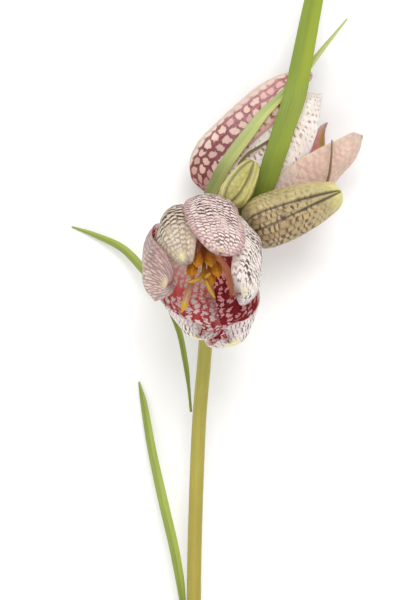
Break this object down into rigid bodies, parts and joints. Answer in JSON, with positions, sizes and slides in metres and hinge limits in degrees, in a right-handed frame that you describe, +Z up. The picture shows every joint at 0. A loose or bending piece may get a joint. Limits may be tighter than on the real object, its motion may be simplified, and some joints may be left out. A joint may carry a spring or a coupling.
{
  "type": "snakes head fritillary stem",
  "caption": "Cut flower stem lying on its side, with chequered bell blooms, closed buds and narrow grass-like leaves.",
  "frame": {"origin": "on the surface the stem lies on, under the middle of its bounding box", "axes": "+Y along the stem towards the blooms, +X across it, +Z up from the surface"},
  "size_m": [0.0796, 0.2779, 0.0734],
  "materials": {
    "stem_green": "smooth, slightly waxy, fibrous along its length",
    "leaf_green": "smooth with fine parallel veins, slightly waxy",
    "outer_tepal": "soft satin, veined, chequered pale and purple",
    "inner_tepal": "soft satin, veined, chequered cream and crimson",
    "stamen_yellow": "matt, dusty with pollen",
    "pistil_green": "matt, slightly moist lobes",
    "olive_bud": "satin, furrowed, chequered olive and brown",
    "small_bud": "satin, ribbed, yellow-green"
  },
  "bodies": {
    "root": {"stem": "stem_green", "leaf_1": "leaf_green", "leaf_2": "leaf_green", "leaf_3": "leaf_green", "leaf_4": "leaf_green", "leaf_5": "leaf_green", "leaf_6": "leaf_green", "front_tepal_outer_top": "outer_tepal", "front_tepal_outer_left": "outer_tepal", "front_tepal_outer_low": "outer_tepal", "front_tepal_inner_upper_left": "inner_tepal", "front_tepal_inner_right": "inner_tepal", "front_tepal_inner_low": "inner_tepal", "front_stamens": "stamen_yellow", "front_pistil": "pistil_green", "back_tepal_outer_left": "outer_tepal", "back_tepal_outer_right": "outer_tepal", "back_tepal_outer_low": "outer_tepal", "back_tepal_inner_top": "inner_tepal", "back_tepal_inner_left": "inner_tepal", "back_tepal_inner_right": "inner_tepal", "back_stamens": "stamen_yellow", "back_pistil": "pistil_green", "olive_bud": "olive_bud", "small_bud": "small_bud"}
  },
  "joints": []
}
